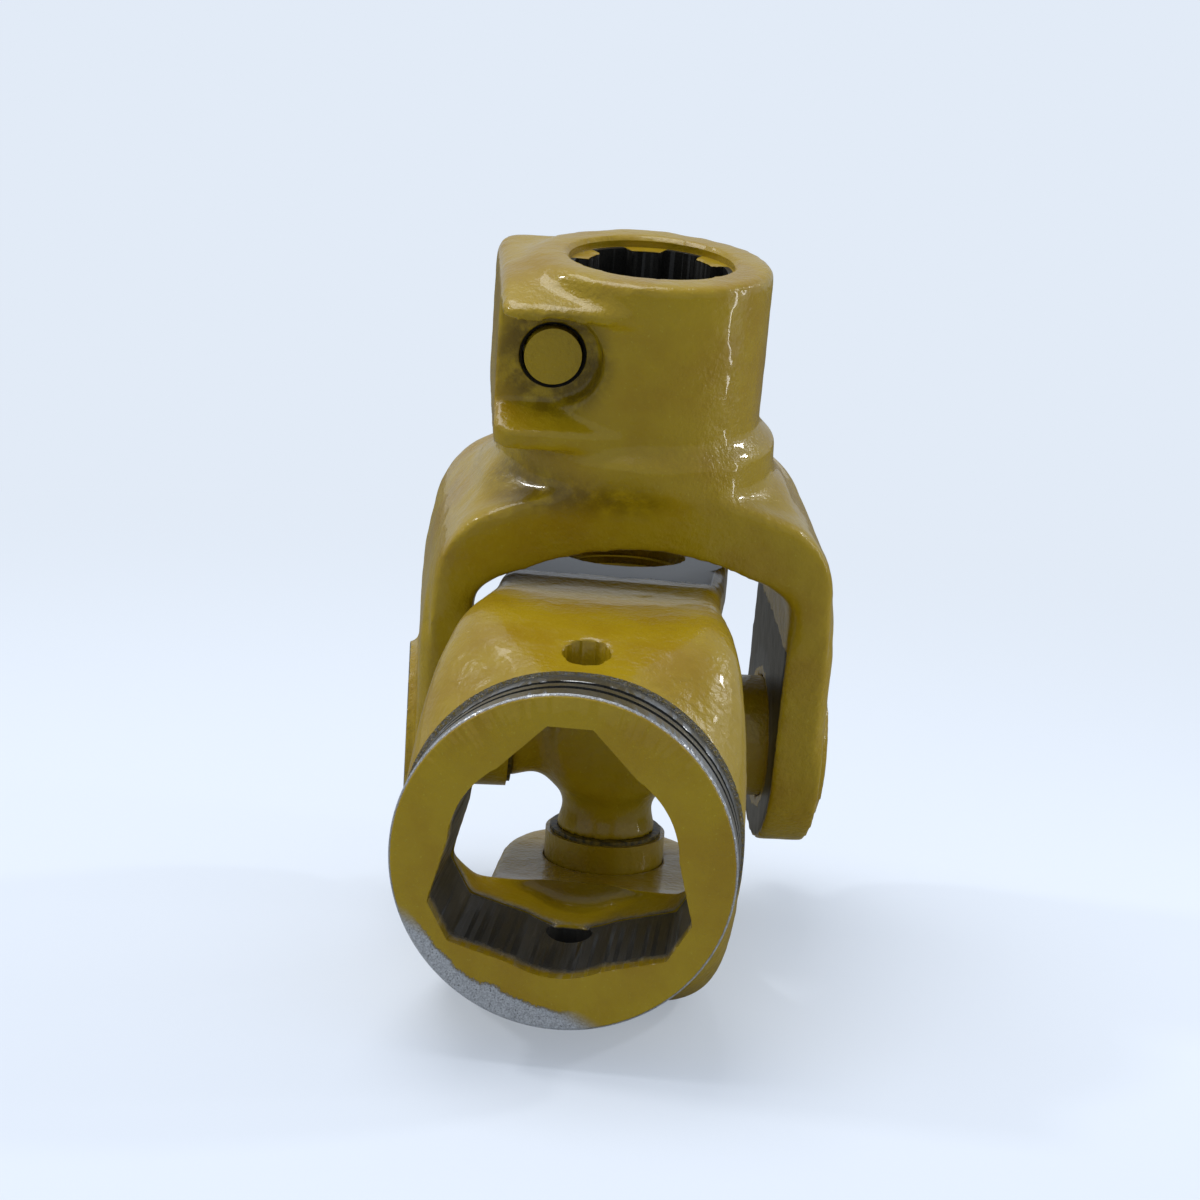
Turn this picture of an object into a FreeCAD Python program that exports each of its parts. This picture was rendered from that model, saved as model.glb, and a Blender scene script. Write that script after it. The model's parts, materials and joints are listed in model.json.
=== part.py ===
"""Agricultural drive-shaft universal joint: splined quick-release yoke, cross kit and tube yoke.

Frame of the part: the origin is the centre of the tube socket's open face, and the tube yoke's
axis runs along +Y from there to the cross, with its ears above and below the cross on Z.
Every piece is modelled about the centre of the cross and then moved back by collar_face. The
splined yoke and what it carries are modelled upright about their own axes (hub along Z, ears on
X) and are also turned to where they rest: rest_swivel about Z, and rest_swing about their own X.
All lengths are in millimetres and all angles in degrees.
"""
import FreeCAD, Part
import math
import os
import re
import Sketcher

from FreeCAD import Placement, Rotation, Vector

doc = FreeCAD.newDocument("universal_joint")
sheet = doc.addObject("Spreadsheet::Sheet", "dims")

DIMENSIONS = [
    # where the joint rests
    ("rest_swivel", 10.0, "splined yoke turned about the tube yoke's trunnions"),
    ("rest_swing", 10.5, "hub leaning from square towards the collar"),
    # cross kit
    ("cap_diameter", 30.2, "bearing cap, outside"),
    ("cap_span", 80.0, "over two opposite caps"),
    ("cap_length", 13.8, "bearing cap, closed end to rim"),
    ("cap_wall", 3.0, "side wall of a bearing cap"),
    ("cap_floor", 2.6, "closed end of a bearing cap"),
    ("needle_diameter", 3.0, "needle roller"),
    ("needle_count", 22, "rollers in one cap"),
    ("running_gap", 0.03, "radial clearance of what turns on the trunnions"),
    ("end_gap", 0.05, "axial clearance of what turns on the trunnions"),
    ("washer_thickness", 1.2, "thrust washer in the cap floor"),
    ("neck_diameter", 24.6, "shoulder of the cross under each seal"),
    ("seal_stand", 1.0, "shoulder face below the rim of the cap"),
    ("seal_diameter", 28.0, "lip seal, outside"),
    ("seal_depth", 1.4, "lip seal inside the cap"),
    ("cross_ball_diameter", 40.0, "middle of the cross, where its arms meet"),
    ("crotch_radius", 4.0, "fillet round the root of each arm"),
    ("cross_thickness", 27.0, "cross body across the forging"),
    ("arm_edge", 1.0, "chamfer at a trunnion's end"),
    ("snap_thickness", 1.6, "snap ring"),
    ("snap_groove_depth", 1.2, "snap ring groove below the ear bore"),
    ("snap_width", 3.4, "radial width of a snap ring"),
    ("snap_opening", 9.0, "gap between a snap ring's ends"),
    ("nipple_thread", 6.0, "grease nipple shank"),
    ("nipple_hex", 9.0, "grease nipple across flats"),
    ("nipple_height", 8.5, "grease nipple above its seat"),
    ("gallery_diameter", 3.0, "grease gallery through the cross"),
    # tube yoke
    ("collar_diameter", 73.4, "collar round the tube socket"),
    ("collar_face", 107.0, "cross centre to the open face"),
    ("band_width", 16.0, "machined band behind the face"),
    ("band_step", 0.5, "depth of the machined band"),
    ("guard_groove_width", 1.6, "guard bearing groove"),
    ("guard_groove_depth", 1.6, "guard bearing groove"),
    ("guard_groove_first", 5.2, "face to first groove"),
    ("guard_groove_pitch", 4.4, "between the grooves"),
    ("face_chamfer", 0.8, "edge of the open face"),
    ("pin_hole_diameter", 10.0, "roll pin hole"),
    ("pin_hole_back", 26.0, "open face to roll pin hole"),
    ("socket_corner", 28.7, "socket centre to a corner flat"),
    ("socket_flat", 4.6, "half width of a corner flat"),
    ("socket_flank", 9.8, "fall and run of the sides beside a corner flat"),
    ("socket_lobe", 24.2, "socket centre to the crown of a lobe"),
    ("socket_lobe_radius", 20.0, "crown of a lobe"),
    ("tube_ear_cover", 3.2, "snap ring to the tube yoke's ear faces"),
    ("tube_ear_grip", 7.0, "length of a cap held in the tube yoke's ear"),
    ("throat_depth", 76.0, "cross centre to the bottom of the throat"),
    ("shoulder_half", 33.5, "half width at the tube yoke's shoulders"),
    # splined yoke
    ("ear_radius", 26.0, "rounded end of every ear"),
    ("spline_ear_cover", 7.6, "snap ring to the splined yoke's ear sides"),
    ("spline_ear_grip", 3.0, "length of a cap held in the splined yoke's ear"),
    ("pad_radius", 20.0, "raised pad round an ear bore"),
    ("pad_height", 2.2, "raised pad above the ear side"),
    ("arch_radius", 59.0, "underside of the arch"),
    ("ridge_radius", 85.0, "top of the arch"),
    ("ridge_height", 74.5, "cross centre to the top of the arch"),
    ("ridge_half", 29.5, "half thickness of the arch at its top"),
    ("ridge_corner", 10.0, "outer corners of the arch"),
    ("flare_start", 30.0, "cross centre to where the arch starts to thicken"),
    ("shoulder_inset", 2.2, "arch in from the ear sides at its corners"),
    ("hub_diameter", 56.6, "hub barrel"),
    ("hub_top", 121.0, "cross centre to the hub face"),
    ("step_diameter", 65.0, "step under the barrel"),
    ("step_bottom", 72.0, "cross centre to the foot of the step"),
    ("step_top", 80.0, "cross centre to the top of the step"),
    ("mouth_diameter", 38.0, "counterbore at the hub face"),
    ("mouth_depth", 2.2, "counterbore at the hub face"),
    ("mouth_chamfer", 0.9, "edge of the counterbore"),
    ("spline_major", 35.0, "spline bore over the grooves"),
    ("spline_minor", 29.7, "spline bore inside the teeth"),
    ("spline_groove", 8.7, "width of a spline groove"),
    ("spline_count", 6, "teeth of the spline bore"),
    # push-pin lock in the boss beside the hub
    ("boss_reach", 35.0, "hub axis to the boss's outer face"),
    ("boss_bottom", 82.0, "cross centre to the underside of the boss"),
    ("boss_drop", 2.6, "hub face down to the top of the boss"),
    ("boss_corner", 4.5, "outer corners of the boss"),
    ("lip_slope", 4.2, "fall of each flange to its front lip"),
    ("lock_offset", 22.4, "hub axis to lock pin axis"),
    ("lock_height", 101.5, "cross centre to lock pin axis"),
    ("lock_diameter", 13.0, "lock pin"),
    ("lock_gap", 0.06, "radial clearance of the lock pin"),
    ("lock_travel", 8.0, "push of the lock pin"),
    ("waist_diameter", 9.4, "lock pin's release waist"),
    ("waist_length", 14.0, "lock pin's release waist"),
    ("spot_radius", 11.0, "spot face round the lock pin"),
    ("spot_depth", 10.3, "front of the boss back to the spot face"),
    ("ring_diameter", 15.0, "chamfered mouth of the lock pin bore"),
    ("lock_proud", 1.2, "lock pin's head in front of the spot face"),
    ("lock_tail", 10.0, "hub axis back to the lock pin's spring end"),
    ("plug_thickness", 4.0, "plug behind the spring"),
    ("spring_wire", 1.1, "lock pin spring"),
    ("spring_turns", 4.5, "lock pin spring"),
    ("spring_diameter", 11.0, "lock pin spring, outside"),
]
NAMES = {}
for row, (alias, value, note) in enumerate(DIMENSIONS, start=1):
    sheet.set("A%d" % row, alias)
    sheet.set("B%d" % row, str(value))
    sheet.setAlias("B%d" % row, alias)
    sheet.set("C%d" % row, note)
    NAMES[alias] = value
doc.recompute()

AXES = {
    "x": Rotation(Vector(0, 1, 0), 90),
    "-x": Rotation(Vector(0, 1, 0), -90),
    "y": Rotation(Vector(1, 0, 0), -90),
    "-y": Rotation(Vector(1, 0, 0), 90),
    "z": Rotation(),
    "-z": Rotation(Vector(1, 0, 0), 180),
}
PLANES = {
    "xy": Rotation(),
    "xz": Rotation(Vector(1, 0, 0), 90),
    "yz": Rotation(Vector(1, 1, 1), 120),
}


def bound(text):
    """Turn the cell names in a formula into references to the sheet."""
    return re.sub(r"[a-z][a-z_]+", lambda m: "dims." + m.group() if m.group() in NAMES else m.group(), text)


def value_of(text):
    """Present value of a formula."""
    return float(sheet.evalExpression(bound(text)))


def primitive(kind, name, at=("0", "0", "0"), turn=None, **lengths):
    """A Part primitive whose lengths and position are formulas."""
    obj = doc.addObject("Part::" + kind, name)
    obj.Placement = Placement(Vector(), turn or Rotation())
    for prop, text in lengths.items():
        obj.setExpression(prop, bound(text))
    for axis, text in zip("xyz", at):
        obj.setExpression(".Placement.Base." + axis, bound(text))
    return obj


def cylinder(name, radius, height, at=("0", "0", "0"), axis="z"):
    return primitive("Cylinder", name, at, AXES[axis], Radius=radius, Height=height)


def cone(name, radius, top_radius, height, at=("0", "0", "0"), axis="z"):
    return primitive("Cone", name, at, AXES[axis], Radius1=radius, Radius2=top_radius, Height=height)


def box(name, lengths, at=("0", "0", "0"), turn=None):
    return primitive("Box", name, at, turn, Length=lengths[0], Width=lengths[1], Height=lengths[2])


def fuse(name, *pieces):
    obj = doc.addObject("Part::MultiFuse", name)
    obj.Shapes = list(pieces)
    obj.Refine = True
    return obj


def common(name, *pieces):
    obj = doc.addObject("Part::MultiCommon", name)
    obj.Shapes = list(pieces)
    obj.Refine = True
    return obj


def cut(name, base, *tools):
    obj = doc.addObject("Part::Cut", name)
    obj.Base = base
    obj.Tool = tools[0] if len(tools) == 1 else fuse(name + "_tools", *tools)
    obj.Refine = True
    return obj


def sketch_lines(name, plane, corners, offset="0"):
    """A closed outline of straight lines whose corners are formulas (across, up)."""
    sketch = doc.addObject("Sketcher::SketchObject", name)
    sketch.Placement = Placement(Vector(), PLANES[plane])
    normal = {"xy": "z", "xz": "y", "yz": "x"}[plane]
    sketch.setExpression(".Placement.Base." + normal, bound(offset))
    spots = []
    for across, up in corners:
        spots.append(Vector(value_of(across), value_of(up), 0))
    count = len(spots)
    for i in range(count):
        sketch.addGeometry(Part.LineSegment(spots[i], spots[(i + 1) % count]), False)
    for i in range(count):
        sketch.addConstraint(Sketcher.Constraint("Coincident", i, 2, (i + 1) % count, 1))
    for i, (across, up) in enumerate(corners):
        for kind, text, value in (("DistanceX", across, spots[i].x), ("DistanceY", up, spots[i].y)):
            number = sketch.addConstraint(Sketcher.Constraint(kind, -1, 1, i, 1, value))
            sketch.setExpression("Constraints[%d]" % number, bound(text))
    return sketch


def extrude(name, sketch, length, both_ways=True):
    obj = doc.addObject("Part::Extrusion", name)
    obj.Base = sketch
    obj.DirMode = "Normal"
    obj.setExpression("LengthFwd", bound(length))
    obj.Symmetric = both_ways
    obj.Solid = True
    return obj


def rounded_section(name, plane, offset, half_across, half_up, corner):
    """A rounded rectangle about the axis, set off along the plane's normal."""
    sketch = doc.addObject("Sketcher::SketchObject", name)
    sketch.Placement = Placement(Vector(), PLANES[plane])
    normal = {"xy": "z", "xz": "y", "yz": "x"}[plane]
    sketch.setExpression(".Placement.Base." + normal, bound(offset))
    wide, high, rad = value_of(half_across), value_of(half_up), value_of(corner)
    flat_u, flat_v = wide - rad, high - rad
    ends = [
        ((flat_u, -high), (-flat_u, -high)), ((-wide, -flat_v), (-wide, flat_v)),
        ((-flat_u, high), (flat_u, high)), ((wide, flat_v), (wide, -flat_v)),
    ]
    for first, last in ends:
        sketch.addGeometry(Part.LineSegment(Vector(*first, 0), Vector(*last, 0)), False)
    centres = [(-flat_u, -flat_v, 180, 270), (-flat_u, flat_v, 90, 180),
               (flat_u, flat_v, 0, 90), (flat_u, -flat_v, 270, 360)]
    for u, v, begin, end in centres:
        ring = Part.Circle(Vector(u, v, 0), Vector(0, 0, 1), rad)
        arc = Part.ArcOfCircle(ring, begin * math.pi / 180, end * math.pi / 180)
        sketch.addGeometry(arc, False)
    add = sketch.addConstraint
    for line in range(4):
        arc = 4 + line
        add(Sketcher.Constraint("Tangent", line, 2, arc, 2))
        add(Sketcher.Constraint("Tangent", arc, 1, (line + 1) % 4, 1))
    for line, kind in ((0, "Horizontal"), (1, "Vertical"), (2, "Horizontal"), (3, "Vertical")):
        add(Sketcher.Constraint(kind, line))
    for a, b in ((4, 5), (5, 6), (6, 7)):
        add(Sketcher.Constraint("Equal", a, b))
    for text, make in (
        (corner, lambda: Sketcher.Constraint("Radius", 4, rad)),
        (half_across, lambda: Sketcher.Constraint("DistanceX", -1, 1, 3, 1, wide)),
        (half_up, lambda: Sketcher.Constraint("DistanceY", -1, 1, 2, 2, high)),
    ):
        number = add(make())
        sketch.setExpression("Constraints[%d]" % number, bound(text))
    for text, make in (
        ("-(%s)" % half_across, lambda: Sketcher.Constraint("DistanceX", -1, 1, 1, 1, -wide)),
        ("-(%s)" % half_up, lambda: Sketcher.Constraint("DistanceY", -1, 1, 0, 1, -high)),
    ):
        number = add(make())
        sketch.setExpression("Constraints[%d]" % number, bound(text))
    return sketch



def loft(name, *sections):
    obj = doc.addObject("Part::Loft", name)
    obj.Sections = list(sections)
    obj.Solid = True
    obj.Ruled = False
    return obj


def fillet(name, base, radius, pick):
    """Round the edges that pick chooses."""
    doc.recompute()
    rad = value_of(radius)
    chosen = [i + 1 for i, edge in enumerate(base.Shape.Edges) if pick(edge)]
    obj = doc.addObject("Part::Fillet", name)
    obj.Base = base
    obj.Edges = [(i, rad, rad) for i in chosen]
    return obj


def turned(axis, angle):
    """Formula of a turn about one axis."""
    return "create(<<rotation>>; create(<<vector>>; %s); %s)" % (axis, angle)


SWIVELLED = turned("0; 0; 1", "rest_swivel")
CARRIERS = {
    "tube": turned("0; 0; 1", "0"),
    "cross": SWIVELLED,
    "spline": SWIVELLED + " * " + turned("1; 0; 0", "rest_swing"),
}
ARMS = {
    "top": turned("0; 0; 1", "0"),
    "bottom": turned("1; 0; 0", "180"),
    "left": turned("0; 1; 0", "-90"),
    "right": turned("0; 1; 0", "90"),
}
PART_NODES = []


def node(obj, name, carrier="tube", arm="top"):
    """Name a finished piece and set it where its carrier rests.

    The pieces of an arm are modelled along +Z, and arm names the direction that they take.
    """
    obj.setExpression("Placement", bound(
        "create(<<placement>>; create(<<vector>>; 0; collar_face; 0); %s * %s)" % (CARRIERS[carrier], ARMS[arm])))
    obj.Label = name
    PART_NODES.append(obj)
    return obj


# what follows from the cross kit: where its caps end, and the ears that hold them
RING_SEAT = "cap_span / 2"
CUP_RIM = "(cap_span / 2 - cap_length)"
NECK_REACH = "(cap_span / 2 - cap_length - seal_stand)"
TUBE_EAR = "(cap_span / 2 + snap_thickness + tube_ear_cover)"
SPLINE_EAR = "(cap_span / 2 + snap_thickness + spline_ear_cover)"
SPLINE_INNER = "(cap_span / 2 - spline_ear_grip)"

# ---------------------------------------------------------------- tube yoke
EAR = "ear_radius"
TRUNNION = "(cap_diameter / 2 - cap_wall - needle_diameter)"

# the forging's outside: round at the collar, square-shouldered, then narrowing to the ears
tube_stations = [
    ("-(collar_face - band_width)", "collar_diameter / 2", "collar_diameter / 2", "collar_diameter / 2 - 0.4"),
    ("-(collar_face - band_width - 9)", "shoulder_half + 2.2", TUBE_EAR + " - 6.4", "24"),
    ("-(collar_face - band_width - 22)", "shoulder_half", TUBE_EAR + " - 2.6", "13"),
    ("-(ear_radius + 24)", "(shoulder_half + 2 * ear_radius) / 3 + 0.6", TUBE_EAR + " - 0.9", "7"),
    ("-(ear_radius + 8)", "ear_radius", TUBE_EAR, "4"),
]
tube_sections = [
    rounded_section("tube_section_%d" % i, "xz", *station) for i, station in enumerate(tube_stations)
]
tube_blend = loft("tube_blend", *tube_sections)
tube_ear_block = extrude("tube_ear_block", rounded_section(
    "tube_ear_section", "xz", "-(ear_radius + 8)", EAR, TUBE_EAR, "4"), "-(ear_radius + 8)", False)
tube_ear_round = cylinder("tube_ear_round", EAR, "2 * " + TUBE_EAR, ("0", "0", "-" + TUBE_EAR))
collar = cylinder("collar", "collar_diameter / 2 - band_step", "band_width + 0.01",
                  ("0", "-collar_face + face_chamfer", "0"), "y")
collar.setExpression("Height", bound("band_width - face_chamfer"))
collar_edge = cone("collar_edge", "collar_diameter / 2 - band_step - face_chamfer",
                   "collar_diameter / 2 - band_step", "face_chamfer", ("0", "-collar_face", "0"), "y")
tube_outside = fuse("tube_outside", tube_blend, tube_ear_block, tube_ear_round, collar, collar_edge)

# the fork's throat, open on both sides of the cross
TUBE_INNER = "(cap_span / 2 - tube_ear_grip)"
throat_half = [
    ("ear_radius + 5", "0"), ("-(ear_radius - 4)", "0"), ("-(throat_depth - 34)", "3"), ("-(throat_depth - 22)", "7"),
    ("-(throat_depth - 14.5)", "11"), ("-(throat_depth - 10)", "16"), ("-(throat_depth - 4.5)", "21"),
    ("-throat_depth", "27"),
]
throat_corners = [(y, "%s - %s" % (TUBE_INNER, drop)) for y, drop in throat_half]
throat_corners += [(y, "-(%s - %s)" % (TUBE_INNER, drop)) for y, drop in reversed(throat_half)]
throat_outline = sketch_lines("throat_outline", "yz", throat_corners)
throat = extrude("throat", throat_outline, "4 * ear_radius")

# the socket for the profile tube: three flat corners, straight sides and three crowned lobes
SOCKET_LENGTH = "collar_face - throat_depth + 12"
corner_pieces, lobe_pieces = [], []
for i in range(3):
    spin = Rotation(Vector(0, 1, 0), 120 * i)
    corner_outline = sketch_lines("socket_corner_outline_%d" % i, "xz", [
        ("-socket_flat", "socket_corner"), ("socket_flat", "socket_corner"),
        ("socket_flat + socket_flank", "socket_corner - socket_flank"), ("0", "0"),
        ("-(socket_flat + socket_flank)", "socket_corner - socket_flank"),
    ], "-collar_face - 1")
    corner_outline.Placement = Placement(corner_outline.Placement.Base, spin * corner_outline.Placement.Rotation)
    corner_pieces.append(extrude("socket_corner_%d" % i, corner_outline, "-(%s)" % SOCKET_LENGTH, False))
    lobe = primitive("Cylinder", "socket_lobe_%d" % i, ("0", "-collar_face - 1", "0"),
                     spin * AXES["y"], Radius="socket_lobe_radius", Height=SOCKET_LENGTH)
    lobe.setExpression(".Placement.Base.x", bound(
        "(socket_lobe - socket_lobe_radius) * cos(%d deg)" % (120 * i - 90)))
    lobe.setExpression(".Placement.Base.z", bound(
        "(socket_lobe - socket_lobe_radius) * sin(%d deg)" % (120 * i - 90)))
    lobe_pieces.append(lobe)
socket = fuse("socket", *(corner_pieces + lobe_pieces))

grooves = []
for i in range(2):
    front = "-(collar_face - guard_groove_first - %d * guard_groove_pitch)" % i
    ring = cylinder("guard_groove_outer_%d" % i, "collar_diameter / 2 + 1", "guard_groove_width",
                    ("0", front, "0"), "y")
    core = cylinder("guard_groove_core_%d" % i, "collar_diameter / 2 - guard_groove_depth",
                    "guard_groove_width", ("0", front, "0"), "y")
    grooves.append(cut("guard_groove_%d" % i, ring, core))
pin_hole = cylinder("roll_pin_hole", "pin_hole_diameter / 2", "2 * collar_diameter",
                    ("0", "-(collar_face - pin_hole_back)", "-collar_diameter"))
tube_cap_bore = cylinder("tube_cap_bore", "cap_diameter / 2", "4 * " + TUBE_EAR, ("0", "0", "-2 * " + TUBE_EAR))
tube_ring_grooves = [
    cylinder("tube_ring_groove_%s" % end, "cap_diameter / 2 + snap_groove_depth", "snap_thickness", ("0", "0", seat))
    for end, seat in (("top", RING_SEAT), ("bottom", "-(%s) - snap_thickness" % RING_SEAT))
]
tube_yoke = cut("tube_yoke_body", tube_outside, throat, socket, pin_hole, tube_cap_bore,
                *(grooves + tube_ring_grooves))
node(tube_yoke, "tube_yoke")

# ------------------------------------------------------------- splined yoke
fork_stations = [
    ("step_bottom + 1", "step_diameter / 2", "step_diameter / 2 - 2.5", "step_diameter / 2 - 2.9"),
    ("step_bottom - 6", "step_diameter / 2 + 7.6", "ear_radius", "17"),
    ("step_bottom - 15.5", SPLINE_EAR + " - 3.2", "ear_radius - 1.2", "9"),
    ("step_bottom - 27", SPLINE_EAR + " - 0.8", "ear_radius - 1.2", "6"),
    ("step_bottom - 40", SPLINE_EAR, "ear_radius", "5"),
]
fork_sections = [
    rounded_section("fork_section_%d" % i, "xy", *station) for i, station in enumerate(fork_stations)
]
fork_blend = loft("fork_blend", *fork_sections)
fork_ears = extrude("fork_ears", rounded_section(
    "fork_ear_section", "xy", "0", SPLINE_EAR, "ear_radius", "5"), "step_bottom - 40", False)
fork_ear_round = cylinder("fork_ear_round", EAR, "2 * " + SPLINE_EAR, ("-" + SPLINE_EAR, "0", "0"), "x")

# the arch: a broad crown over the throat, thickening towards the hub
flare_outline = sketch_lines("flare_outline", "yz", [
    ("-ear_radius", "0"), ("ear_radius", "0"), ("ear_radius", "flare_start"), ("ridge_half", "ridge_height"),
    ("ridge_half", "ridge_radius"), ("-ridge_half", "ridge_radius"), ("-ridge_half", "ridge_height"),
    ("-ear_radius", "flare_start"),
])
ARCH_HALF = "(%s - shoulder_inset)" % SPLINE_EAR
arch_block = common(
    "arch_block",
    cylinder("ridge_disc", "ridge_radius", "4 * ridge_half", ("0", "-2 * ridge_half", "ridge_height - ridge_radius"), "y"),
    extrude("flare", flare_outline, "2 * " + ARCH_HALF),
)


def is_arch_corner(edge):
    """One of the two long edges where the crown meets the sides."""
    ends = edge.BoundBox
    return ends.YLength > value_of("ridge_half") and ends.ZMin > value_of("flare_start")


arch = fillet("arch", arch_block, "ridge_corner", is_arch_corner)
pads = cylinder("ear_pads", "pad_radius", "2 * (%s + pad_height)" % SPLINE_EAR,
                ("-(%s + pad_height)" % SPLINE_EAR, "0", "0"), "x")
hub = cylinder("hub_barrel", "hub_diameter / 2", "hub_top - step_bottom", ("0", "0", "step_bottom"))
step = cylinder("hub_step", "step_diameter / 2", "step_top - step_bottom", ("0", "0", "step_bottom"))
step_bevel = cone("hub_step_bevel", "step_diameter / 2", "hub_diameter / 2",
                  "(step_diameter - hub_diameter) / 2", ("0", "0", "step_top"))

# the lock boss: a block beside the hub whose front and back run tangent to the barrel
BOSS_DEEP = "hub_diameter / 2"
BOSS_TALL = "hub_top - boss_drop - boss_bottom"
boss_block = box("boss_block", ("boss_reach", "hub_diameter", BOSS_TALL), ("-boss_reach", "-(%s)" % BOSS_DEEP, "boss_bottom"))
boss = fillet("boss", boss_block, "boss_corner", lambda edge: (
    edge.BoundBox.XMax < -value_of("boss_reach") + 0.01 and edge.BoundBox.ZLength > 1))
fork_solid = fuse("fork_solid", fork_blend, fork_ears, fork_ear_round, arch, pads, hub, step, step_bevel, boss)

FRONT = "-(hub_diameter / 2)"
SPOT_Y = "-(hub_diameter / 2 - spot_depth)"
recess_outline = sketch_lines("recess_outline", "yz", [
    (SPOT_Y, "lock_height - spot_radius"), ("-(hub_diameter / 2 + 1)", "lock_height - spot_radius - lip_slope - 0.4"),
    ("-(hub_diameter / 2 + 1)", "lock_height + spot_radius - 0.8"), (SPOT_Y, "lock_height + spot_radius"),
])
recess_block = extrude("recess_block", recess_outline, "-2 * boss_reach", True)
recess_side = box("recess_side", ("boss_reach + 2", "hub_diameter", "hub_diameter"),
                  ("-boss_reach - 2", "-hub_diameter", "lock_height - hub_diameter / 2"))
barrel_copy = cylinder("recess_barrel", "hub_diameter / 2", "2 * hub_top")
recess = cut("recess", common("recess_half", recess_block, recess_side), barrel_copy)
LOCK_X = "-lock_offset"
spot_face = cylinder("spot_face", "spot_radius", "hub_diameter / 2", (LOCK_X, "-hub_diameter", "lock_height"), "y")
spot_face.setExpression("Height", bound("hub_diameter / 2 + spot_depth"))
top_slope_outline = sketch_lines("top_slope_outline", "yz", [
    ("-(hub_diameter / 2 + 1)", "hub_top - boss_drop - lip_slope"), ("-(hub_diameter / 4)", "hub_top - boss_drop"),
    ("-(hub_diameter / 4)", "hub_top + 5"), ("-(hub_diameter / 2 + 1)", "hub_top + 5"),
])
top_slope = cut("top_slope", common(
    "top_slope_half", extrude("top_slope_block", top_slope_outline, "-2 * boss_reach", True),
    box("top_slope_side", ("boss_reach + 2", "hub_diameter", "hub_diameter"),
        ("-boss_reach - 2", "-hub_diameter", "hub_top - hub_diameter / 2"))),
    cylinder("slope_barrel", "hub_diameter / 2", "2 * hub_top"))

arch_hollow = common(
    "arch_hollow",
    cylinder("arch_disc", "arch_radius", "4 * ear_radius", ("0", "-2 * ear_radius", "0"), "y"),
    box("arch_window", ("2 * " + SPLINE_INNER, "4 * ear_radius", "2 * arch_radius"),
        ("-" + SPLINE_INNER, "-2 * ear_radius", "-arch_radius")),
)
minor_bore = cylinder("minor_bore", "spline_minor / 2", "hub_top", ("0", "0", "arch_radius / 2"))
spline_slots = []
for i in range(int(NAMES["spline_count"])):
    slot = box("spline_slot_%d" % i, ("spline_major / 2", "spline_groove", "hub_top"), ("0", "0", "arch_radius / 2"))
    turn = 360.0 / NAMES["spline_count"] * i
    slot.Placement = Placement(Vector(), Rotation(Vector(0, 0, 1), turn))
    slot.setExpression(".Placement.Base.z", bound("arch_radius / 2"))
    slot.setExpression(".Placement.Base.x", bound("spline_groove / 2 * sin(%s deg)" % turn))
    slot.setExpression(".Placement.Base.y", bound("-spline_groove / 2 * cos(%s deg)" % turn))
    spline_slots.append(slot)
major_bore = cylinder("major_bore", "spline_major / 2", "hub_top", ("0", "0", "arch_radius / 2"))
spline_bore = common("spline_bore", fuse("spline_fan", minor_bore, *spline_slots), major_bore)
mouth = cylinder("mouth", "mouth_diameter / 2", "mouth_depth + 1", ("0", "0", "hub_top - mouth_depth"))
mouth_edge = cone("mouth_edge", "mouth_diameter / 2", "mouth_diameter / 2 + mouth_chamfer", "mouth_chamfer",
                  ("0", "0", "hub_top - mouth_chamfer"))
lock_bore = cylinder("lock_bore", "lock_diameter / 2 + lock_gap", "3 * hub_diameter",
                     (LOCK_X, "-hub_diameter", "lock_height"), "y")
lock_mouth = cone("lock_mouth", "ring_diameter / 2", "lock_diameter / 2", "(ring_diameter - lock_diameter) / 2",
                  (LOCK_X, SPOT_Y, "lock_height"), "y")
spline_cap_bore = cylinder("spline_cap_bore", "cap_diameter / 2", "4 * " + SPLINE_EAR,
                           ("-2 * " + SPLINE_EAR, "0", "0"), "x")
spline_ring_grooves = [
    cylinder("spline_ring_groove_%s" % end, "cap_diameter / 2 + snap_groove_depth", "snap_thickness",
             (seat, "0", "0"), "x")
    for end, seat in (("right", RING_SEAT), ("left", "-(%s) - snap_thickness" % RING_SEAT))
]
spline_yoke = cut("spline_yoke_body", fork_solid, arch_hollow, recess, spot_face, top_slope, spline_bore, mouth,
                  mouth_edge, lock_bore, lock_mouth, spline_cap_bore, *spline_ring_grooves)
node(spline_yoke, "spline_yoke", "spline")

# -------------------------------------------------------------------- cross
ball_centre = primitive("Sphere", "cross_ball", Radius="cross_ball_diameter / 2")
necks = [
    cylinder("neck_z", "neck_diameter / 2", "2 * " + NECK_REACH, ("0", "0", "-" + NECK_REACH)),
    cylinder("neck_x", "neck_diameter / 2", "2 * " + NECK_REACH, ("-" + NECK_REACH, "0", "0"), "x"),
]


def is_neck_root(edge):
    """A circle where a neck leaves the ball."""
    if not isinstance(edge.Curve, Part.Circle):
        return False
    centre = edge.Curve.Center
    off_centre = max(abs(centre.x), abs(centre.z))
    return 0.01 < off_centre < value_of("cross_ball_diameter / 2")


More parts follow.
